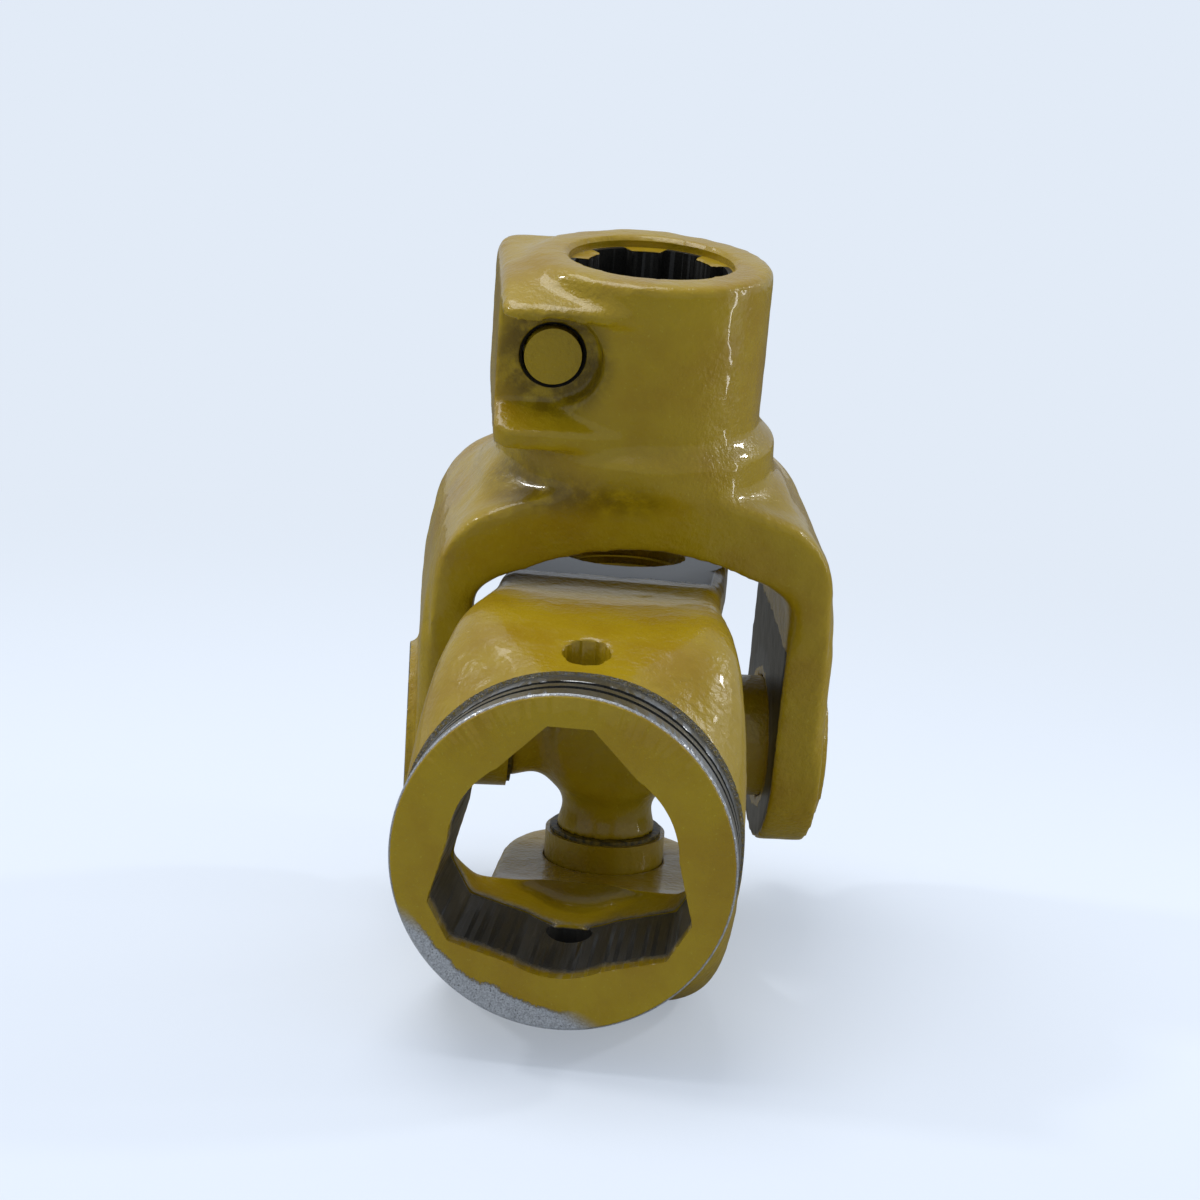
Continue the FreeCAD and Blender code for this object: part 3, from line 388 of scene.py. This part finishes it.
# ---------------------------------------------------------------- finishes
class Finish:
    """A material's node tree, with one short call for each node."""

    def __init__(self, name):
        self.material = bpy.data.materials.new(name)
        self.material.use_nodes = True
        self.tree = self.material.node_tree
        self.tree.nodes.clear()
        place = self.node("ShaderNodeTexCoord")
        self.point, self.facing = place.outputs["Object"], place.outputs["Normal"]

    def node(self, kind, sockets=None, **settings):
        made = self.tree.nodes.new(kind)
        for key, value in settings.items():
            setattr(made, key, value)
        for key, value in (sockets or {}).items():
            if isinstance(value, bpy.types.NodeSocket):
                self.tree.links.new(value, made.inputs[key])
            else:
                made.inputs[key].default_value = value
        return made

    def math(self, operation, first, second=0.0):
        return self.node("ShaderNodeMath", {0: first, 1: second}, operation=operation).outputs[0]

    def add(self, first, second):
        return self.math("ADD", first, second)

    def times(self, *values):
        """The product of sockets and numbers, which is a plain number where all of them are."""
        sockets = [value for value in values if isinstance(value, bpy.types.NodeSocket)]
        factor = math.prod(value for value in values if value not in sockets)
        if not sockets:
            return factor
        result = sockets[0]
        for value in sockets[1:]:
            result = self.math("MULTIPLY", result, value)
        return result if factor == 1 else self.math("MULTIPLY", result, factor)

    def largest(self, *values):
        result = values[0]
        for value in values[1:]:
            result = self.math("MAXIMUM", result, value)
        return result

    def rest(self, value):
        """What a share leaves of 1."""
        return self.math("SUBTRACT", 1.0, value) if isinstance(value, bpy.types.NodeSocket) else 1.0 - value

    def size(self, value):
        """A value without its sign."""
        return self.math("ABSOLUTE", value)

    def distance(self, first, second):
        """The length of two sides of a right angle."""
        return self.math("SQRT", self.add(self.times(first, first), self.times(second, second)))

    def along(self, axis, start=(0, 0, 0)):
        """How far a point lies along an axis from a start, in metres."""
        moved = self.node("ShaderNodeVectorMath", {0: self.point, 1: start}, operation="SUBTRACT")
        return self.node("ShaderNodeVectorMath", {0: moved.outputs[0], 1: axis},
                         operation="DOT_PRODUCT").outputs["Value"]

    def faces(self, axis):
        """How squarely a face looks along an axis, either way."""
        dot = self.node("ShaderNodeVectorMath", {0: self.facing, 1: axis}, operation="DOT_PRODUCT")
        return self.size(dot.outputs["Value"])

    def noise(self, scale, detail=3.0, roughness=0.5, stretch=None):
        point = self.point
        if stretch:
            point = self.node("ShaderNodeMapping", {"Vector": point, "Scale": stretch}).outputs[0]
        sockets = {"Vector": point, "Scale": scale, "Detail": detail, "Roughness": roughness}
        return self.node("ShaderNodeTexNoise", sockets).outputs["Fac"]

    def ragged(self, scale, detail, roughness, width):
        """A length that strays to both sides of 0, for the worn edge of a coat."""
        return self.times(self.add(self.noise(scale, detail, roughness), -0.5), width)

    def between(self, value, low, high, start=0.0, end=1.0):
        """Start below low, end above high, and smooth between them."""
        sockets = {"Value": value, "From Min": low, "From Max": high, "To Min": start, "To Max": end}
        return self.node("ShaderNodeMapRange", sockets, interpolation_type="SMOOTHSTEP").outputs["Result"]

    def below(self, value, limit, blur=0.1 * MM):
        return self.between(value, limit - blur, limit + blur, 1.0, 0.0)

    def above(self, value, limit, blur=0.1 * MM):
        return self.between(value, limit - blur, limit + blur)

    def blend(self, amount, first, second):
        """A colour between two others."""
        made = self.node("ShaderNodeMix", {"Factor": amount}, data_type="RGBA")
        for key, value in ((6, first), (7, second)):
            if isinstance(value, bpy.types.NodeSocket):
                self.tree.links.new(value, made.inputs[key])
            else:
                made.inputs[key].default_value = value
        return made.outputs[2]

    def bump(self, height, distance=1.0):
        return self.node("ShaderNodeBump", {"Height": height, "Distance": distance}).outputs["Normal"]

    def close(self, sockets):
        shader = self.node("ShaderNodeBsdfPrincipled", sockets)
        self.node("ShaderNodeOutputMaterial", {"Surface": shader.outputs[0]})
        return self.material


def shade(red, green, blue):
    """An sRGB colour out of 255, as linear light."""
    def linear(value):
        value /= 255
        return value / 12.92 if value <= 0.04045 else ((value + 0.055) / 1.055) ** 2.4
    return (linear(red), linear(green), linear(blue), 1.0)


MUSTARD, OCHRE, OVERSPRAY = shade(152, 126, 12), shade(136, 104, 6), shade(172, 160, 52)
GROUND_STEEL, SCRATCHED_STEEL, DARK_STEEL_AND_SHADE = shade(190, 192, 194), shade(120, 122, 126), shade(52, 50, 46)
PAINTED_SHADE_BLACK, PAINTED_SHADE_OCHRE, BLUE_STEEL = shade(16, 16, 15), shade(74, 56, 6), shade(74, 78, 84)
# heights of the paint's orange peel and long waves, of tool marks, and of the coat over bare metal
PEEL_HEIGHT, WAVE_HEIGHT, MARK_HEIGHT, COAT_THICKNESS = 0.24 * MM, 0.4 * MM, 0.03 * MM, 0.08 * MM
PAINT_ROUGHNESS = 0.3


def finished(finish, bare=0.0, bare_colour=GROUND_STEEL, bare_roughness=0.3,
             marks=None, dull=0.0, painted_shade=0.0):
    """Glossy mustard paint over forged skin, bare metal where bare is 1.

    marks is a height for the tool marks of the bare metal; dull is 1 where the bare metal is made
    non-metallic, so that its dark colour shows in place of reflections;
    and the share of painted shade is 1 where shade is painted into the paint as a darker ochre.
    """
    patches = finish.between(finish.noise(45, 4, 0.6), 0.38, 0.66)
    specks = finish.between(finish.noise(1500, 2), 0.66, 0.74)
    # painted shade: patches of a darker ochre, laid into the paint where the share of painted shade is 1
    shade_patches = finish.between(finish.noise(180, 4, 0.7), 0.3, 0.6)
    paint = finish.blend(finish.times(patches, 0.6), MUSTARD, OCHRE)
    paint = finish.blend(finish.times(specks, 0.35), paint, OVERSPRAY)
    paint = finish.blend(finish.times(shade_patches, painted_shade), paint, PAINTED_SHADE_OCHRE)
    grain = finish.between(finish.noise(2600, 3, 0.7), 0.3, 0.7)
    metal = finish.blend(finish.times(grain, 0.5), bare_colour, DARK_STEEL_AND_SHADE)

    painted = finish.rest(bare)
    roughness = bare_roughness if bare == 1.0 else PAINT_ROUGHNESS
    if isinstance(bare, bpy.types.NodeSocket):
        roughness = finish.between(bare, 0.0, 1.0, PAINT_ROUGHNESS, bare_roughness)
    coarse = finish.between(finish.noise(28, 2), 0.4, 0.62, 0.5, 1.3)
    paint_height = finish.add(finish.times(finish.noise(900, 2, 0.6), coarse, PEEL_HEIGHT),
                              finish.times(finish.noise(240, 2), WAVE_HEIGHT))
    metal_height = finish.times(grain if marks is None else marks, MARK_HEIGHT)
    height = finish.add(finish.times(paint_height, painted), finish.times(metal_height, bare))
    return finish.close({
        "Base Color": finish.blend(bare, paint, metal), "Roughness": roughness,
        "Metallic": finish.times(bare, finish.rest(dull)),
        "Specular IOR Level": 0.25, "Coat Roughness": 0.05, "Coat Weight": finish.times(painted, 0.35),
        "Normal": finish.bump(finish.add(height, finish.times(painted, COAT_THICKNESS)))})


def tube_yoke_finish():
    """Paint, with the collar band, worn face, socket walls and ear faces bare, and painted shade in the
    grooves, pin hole and ear faces.
    """
    finish = Finish("tube_yoke_paint")
    across, back, up = (finish.along(axis) for axis in ((1, 0, 0), (0, 1, 0), (0, 0, 1)))
    from_axis = finish.distance(across, up)
    spatter = finish.ragged(1400, 3, 0.8, 2.4 * MM)
    edge = finish.add(finish.ragged(160, 4, 0.7, 3 * MM), spatter)
    fine_spatter = finish.times(spatter, 0.2)
    long_edge = finish.add(back, finish.times(edge, 1.6))

    band = finish.times(finish.above(back, 0.9 * MM), finish.above(from_axis, collar_radius - 2.6 * MM),
                        finish.below(finish.add(back, fine_spatter), band_depth))
    groove = finish.times(band, finish.below(from_axis, collar_radius - 1.2 * MM))
    # the face is rubbed bright along its lower left edge, and only by a hair elsewhere
    on_face = finish.below(back, 0.95 * MM)
    from_worn_centre = finish.distance(finish.add(across, -1.8 * MM), finish.add(up, -4.6 * MM))
    worn_reach = finish.add(from_worn_centre, finish.add(finish.ragged(60, 2, 0.5, 7 * MM),
                                                         finish.times(edge, 0.7)))
    down_left = finish.add(finish.times(across, -0.45), finish.times(up, -0.89))
    low_left = finish.above(finish.above(down_left, 27 * MM, 8 * MM), 0.5, 0.2)
    worn = finish.times(finish.above(worn_reach, 36.2 * MM, 0.4 * MM), on_face, low_left)
    rim_reach = finish.add(from_axis, fine_spatter)
    rim = finish.times(finish.above(rim_reach, collar_radius - 1.1 * MM, 0.15 * MM), on_face)
    wall = finish.times(finish.below(finish.faces((0, 1, 0)), 0.4, 0.1),
                        finish.below(from_axis, socket_radius),
                        finish.above(long_edge, 4.0 * MM, 1.6 * MM),
                        finish.below(long_edge, 31 * MM, 2 * MM))
    ears = finish.times(finish.above(finish.size(up), tube_ear_face - 0.25 * MM, 0.08 * MM),
                        finish.above(finish.faces((0, 0, 1)), 0.9, 0.05),
                        finish.above(finish.add(back, finish.times(edge, 2.0)), 78 * MM, 1.0 * MM))
    from_pin = finish.distance(across, finish.along((0, 1, 0), pin_hole))
    # the upper end of the pin hole is painted
    pin = finish.times(finish.below(from_pin, pin_hole_radius + 0.2 * MM),
                       finish.below(up, 18 * MM, 2 * MM))
    bare = finish.largest(band, worn, rim, wall, ears, pin)

    turned_marks = finish.noise(1.0, 2, 0.6, (120, 5200, 120))
    drawn_marks = finish.noise(1.0, 3, 0.7, (1700, 60, 1700))
    scratches = finish.between(drawn_marks, 0.5, 0.8)
    pits = finish.between(finish.noise(2400, 2, 0.6), 0.58, 0.68)
    # painted shade: the pin hole and the ears' outer faces are painted dark and dulled, for the shade in
    # the hole and the dark under the arch; the socket walls and the band are a darker steel
    dark = finish.largest(finish.times(wall, 0.9), pin, finish.times(ears, 0.9), finish.times(band, 0.3))
    tone = finish.blend(dark, GROUND_STEEL, DARK_STEEL_AND_SHADE)
    tone = finish.blend(finish.times(scratches, wall, 0.6), tone, SCRATCHED_STEEL)
    # painted shade: the guard grooves are painted near black
    tone = finish.blend(groove, tone, PAINTED_SHADE_BLACK)
    tone = finish.blend(finish.times(pits, finish.largest(worn, rim), 0.6), tone, DARK_STEEL_AND_SHADE)
    marks = finish.add(finish.times(turned_marks, band), finish.times(drawn_marks, wall, 1.6))
    dull = finish.largest(finish.times(ears, 0.75), finish.times(wall, 0.45), pin,
                          finish.times(groove, 0.6), finish.times(worn, 0.75), finish.times(rim, 0.6))
    return finished(finish, bare, tone, 0.3, marks, dull)


def spline_yoke_finish():
    """Paint, with the ear pads, the ears' inner faces and the bores bare, and painted shade in the bores,
    the lock pin's gap, the lock's pocket and the hollow under its boss.
    """
    finish = Finish("spline_yoke_paint")
    across, front, up = (finish.along(axis, cross_centre) for axis in (ear_axis, push_axis, hub_axis))
    from_hub, from_cap = finish.distance(across, front), finish.distance(front, up)
    from_lock = finish.distance(finish.add(across, -lock_offset), finish.add(up, -lock_height))
    side = finish.size(across)
    edge = finish.add(finish.ragged(1200, 3, 0.8, 2.4 * MM), finish.ragged(120, 3, 0.7, 6 * MM))
    from_cap_edge = finish.add(from_cap, edge)
    square = finish.above(finish.faces(ear_axis), 0.93, 0.04)
    pads = finish.times(finish.above(side, spline_pad_face - 0.6 * MM, 0.3 * MM), square)
    inner = finish.times(finish.below(side, spline_ear_inner + 0.4 * MM), square,
                         finish.above(from_cap_edge, 17.5 * MM),
                         finish.below(finish.add(up, edge), 34 * MM))
    # painted shade: the bore below its ledge and the ledge in line with each groove are near black, so
    # paint shows only on the teeth's ends
    in_hub = finish.above(up, hub_underside + 2 * MM)
    bored = finish.times(finish.below(from_hub, spline_outer + CLEAN_UP), in_hub,
                         finish.below(up, hub_top - hub_mouth_depth - 0.2 * MM))
    groove_ends = finish.times(finish.below(from_hub, hub_mouth_radius - 0.1 * MM), in_hub,
                               finish.below(up, hub_top - hub_mouth_depth + 0.3 * MM))
    for turn in (0, math.pi / 3, -math.pi / 3):
        off_groove = finish.add(finish.times(across, math.sin(turn)), finish.times(front, math.cos(turn)))
        in_groove = finish.below(finish.size(off_groove), spline_side)
        bored = finish.largest(bored, finish.times(groove_ends, in_groove))
    in_front = finish.below(front, -10 * MM)
    lock = finish.times(finish.below(from_lock, lock_mouth_radius + 0.1 * MM), in_front)
    bare = finish.largest(pads, inner, bored, lock)

    drawn_marks = finish.noise(1.0, 3, 0.7, (1500, 1500, 90))
    brushed = finish.between(drawn_marks, 0.42, 0.66)
    # the ears' inner faces are darker away from the cups
    inner_darkening = finish.times(inner, finish.above(from_cap_edge, 22.5 * MM, 1.5 * MM), 0.8)
    tone = finish.blend(finish.times(brushed, 0.8), BLUE_STEEL, SCRATCHED_STEEL)
    tone = finish.blend(inner_darkening, tone, DARK_STEEL_AND_SHADE)
    # painted shade: the bores and the gap round the lock pin are painted near black
    tone = finish.blend(finish.largest(bored, lock), tone, PAINTED_SHADE_BLACK)
    tone = finish.blend(pads, tone, SCRATCHED_STEEL)
    dull = finish.largest(bored, lock, finish.times(inner, 0.5), finish.times(pads, 0.7))
    # painted shade: the paint is darkened in the lock's pocket and in the hollow under its boss
    pocket = finish.times(finish.below(from_lock, 12.5 * MM, 3 * MM), in_front)
    from_hollow = finish.size(finish.add(up, -72 * MM))
    hollow = finish.times(finish.below(from_hollow, 3.5 * MM, 3.5 * MM),
                          finish.below(across, 2 * MM, 6 * MM), finish.below(front, -10 * MM, 4 * MM))
    painted_shade = finish.add(finish.times(pocket, 0.7), finish.times(hollow, 0.6))
    return finished(finish, bare, tone, 0.36, drawn_marks, dull, painted_shade)


def kit_finish(name, bare_colour=None):
    """Paint all over, or bare metal of one colour all over."""
    finish = Finish(name)
    if bare_colour is None:
        return finished(finish)
    return finished(finish, 1.0, bare_colour)


def dress(thing, material):
    thing.data.materials.clear()
    thing.data.materials.append(material)


kit_paint = kit_finish("kit_paint")
bearing_steel = kit_finish("bearing_steel", SCRATCHED_STEEL)
spring_steel = kit_finish("spring_steel", DARK_STEEL_AND_SHADE)
dress(tube_yoke, tube_yoke_finish())
dress(spline_yoke, spline_yoke_finish())
dress(cross, kit_paint)

seal = Finish("seal_rubber")
dusting = seal.between(seal.noise(700, 3), 0.3, 0.7)
seal_rubber = seal.close({
    "Base Color": seal.blend(dusting, shade(44, 40, 18), shade(112, 94, 20)),
    "Roughness": 0.5, "Normal": seal.bump(seal.noise(900, 2), 0.04 * MM)})
for name, thing in nodes.items():
    if name.startswith(("needle_rollers", "thrust_washer")):
        dress(thing, bearing_steel)
    elif name.startswith("cup_seal"):
        dress(thing, seal_rubber)
    elif name in ("lock_pin_spring", "lock_pin_plug"):
        dress(thing, spring_steel)
    else:
        dress(thing, kit_paint)

# ---------------------------------------------------------------- floor, light and camera
BACKDROP = shade(226, 235, 247)


def seen_directly(tree):
    """1 for what the camera sees straight on or through glass, and 0 for light and reflections."""
    rays = tree.nodes.new("ShaderNodeLightPath")
    seen = tree.nodes.new("ShaderNodeMath")
    seen.operation = "MAXIMUM"
    tree.links.new(rays.outputs["Is Camera Ray"], seen.inputs[0])
    tree.links.new(rays.outputs["Is Transmission Ray"], seen.inputs[1])
    return seen.outputs[0]


world = bpy.data.worlds.new("soft_studio")
bpy.context.scene.world = world
world.use_nodes = True
room = world.node_tree
background = room.nodes["Background"]
background.inputs["Color"].default_value = BACKDROP
strength = room.nodes.new("ShaderNodeMapRange")
strength.inputs["To Min"].default_value = 0.64
strength.inputs["To Max"].default_value = 1.0
room.links.new(seen_directly(room), strength.inputs["Value"])
room.links.new(strength.outputs["Result"], background.inputs["Strength"])

grid = bmesh.new()
bmesh.ops.create_grid(grid, x_segments=1, y_segments=1, size=9.0)
bmesh.ops.translate(grid, verts=grid.verts, vec=(0, 0, floor_height))
floor_mesh = bpy.data.meshes.new("studio_floor")
grid.to_mesh(floor_mesh)
grid.free()
studio_floor = bpy.data.objects.new("studio_floor", floor_mesh)
bpy.context.scene.collection.objects.link(studio_floor)
# the floor fades into the backdrop, and looks darker in the paint's reflections; its glow makes up at least
# 0.4 of the floor the camera sees, and so paints the object's shadow lighter next to it
card = Finish("pale_card")
glow_share = card.between(card.distance(card.along((1, 0, 0)), card.along((0, 1, 0))), 0.04, 0.7, 0.4, 1.0)
mirrored = card.node("ShaderNodeLightPath").outputs["Is Glossy Ray"]
paper_colour = card.blend(mirrored, shade(222, 229, 240), shade(120, 118, 112))
paper = card.node("ShaderNodeBsdfDiffuse", {"Color": paper_colour})
glow = card.node("ShaderNodeEmission", {"Color": BACKDROP, "Strength": 1.0})
mixed = card.node("ShaderNodeMixShader", {0: card.times(glow_share, seen_directly(card.tree)),
                                          1: paper.outputs[0], 2: glow.outputs[0]})
card.node("ShaderNodeOutputMaterial", {"Surface": mixed.outputs[0]})
floor_mesh.materials.append(card.material)


def softbox(name, place, aim, wide, tall, power):
    data = bpy.data.lights.new(name, "AREA")
    data.shape, data.size, data.size_y, data.energy = "RECTANGLE", wide, tall, power
    made = bpy.data.objects.new(name, data)
    bpy.context.scene.collection.objects.link(made)
    made.location = place
    made.rotation_mode = "QUATERNION"
    made.rotation_quaternion = (Vector(aim) - Vector(place)).to_track_quat("-Z", "Y")
    return made


# the strip makes the long streak down the hub, and the small boxes the sparks on the shoulders
softbox("overhead_softbox", (-0.25, 0.15, 1.1), cross_centre, 0.7, 0.7, 7.5)
softbox("side_softbox", (0.9, 0.5, 0.7), cross_centre, 0.1, 0.1, 2.4)
softbox("right_strip", (0.36, 0.1, 0.11), cross_centre + Vector((0, 0, 0.08)), 0.014, 0.26, 0.2)
softbox("left_softbox", (-0.8, 0.1, 0.75), cross_centre, 0.1, 0.1, 2.2)

view_azimuth, view_elevation, view_roll = math.radians(5.02), math.radians(12.12), math.radians(3.70)
view_distance = 0.5523
view_aim = cross_centre + Vector((-5.6, 6.3, 31.4)) * MM
back = Vector((math.sin(view_azimuth) * math.cos(view_elevation),
               -math.cos(view_azimuth) * math.cos(view_elevation), math.sin(view_elevation)))
camera_data = bpy.data.cameras.new("studio_camera")
camera_data.sensor_width, camera_data.lens = 36, 66
camera_data.clip_start, camera_data.clip_end = 0.01, 50
camera = bpy.data.objects.new("studio_camera", camera_data)
bpy.context.scene.collection.objects.link(camera)
camera.rotation_mode = "QUATERNION"
camera.location = view_aim + back * view_distance
camera.rotation_quaternion = (Matrix.Rotation(view_roll, 3, back)
                              @ (-back).to_track_quat("-Z", "Y").to_matrix()).to_quaternion()
bpy.context.scene.camera = camera
bpy.context.scene.view_settings.view_transform = "Standard"
